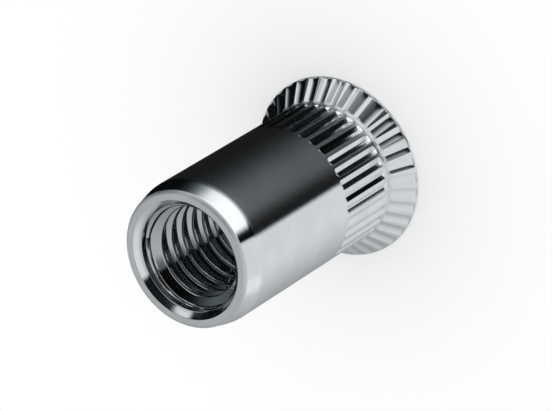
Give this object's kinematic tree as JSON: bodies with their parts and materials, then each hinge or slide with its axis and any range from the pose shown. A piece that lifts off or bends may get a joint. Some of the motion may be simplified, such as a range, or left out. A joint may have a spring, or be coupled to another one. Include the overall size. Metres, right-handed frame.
{
  "type": "rivet nut",
  "caption": "Open-ended countersunk rivet nut with a ribbed shank, a serrated head underside and a threaded tail, for putting a strong thread into thin sheet.",
  "frame": {"origin": "centre of the flat face of the head, on which the part stands", "axes": "+Z along the axis, from the head through the ribbed shank to the threaded tail; +X points at the middle of one rib"},
  "size_m": [0.0138, 0.0138, 0.0194],
  "materials": {
    "zinc_plated_steel": "bright zinc plating on turned and rolled steel, smooth and mirror-like with fine turning marks"
  },
  "bodies": {
    "root": {"rivet_nut": "zinc_plated_steel"}
  },
  "joints": []
}
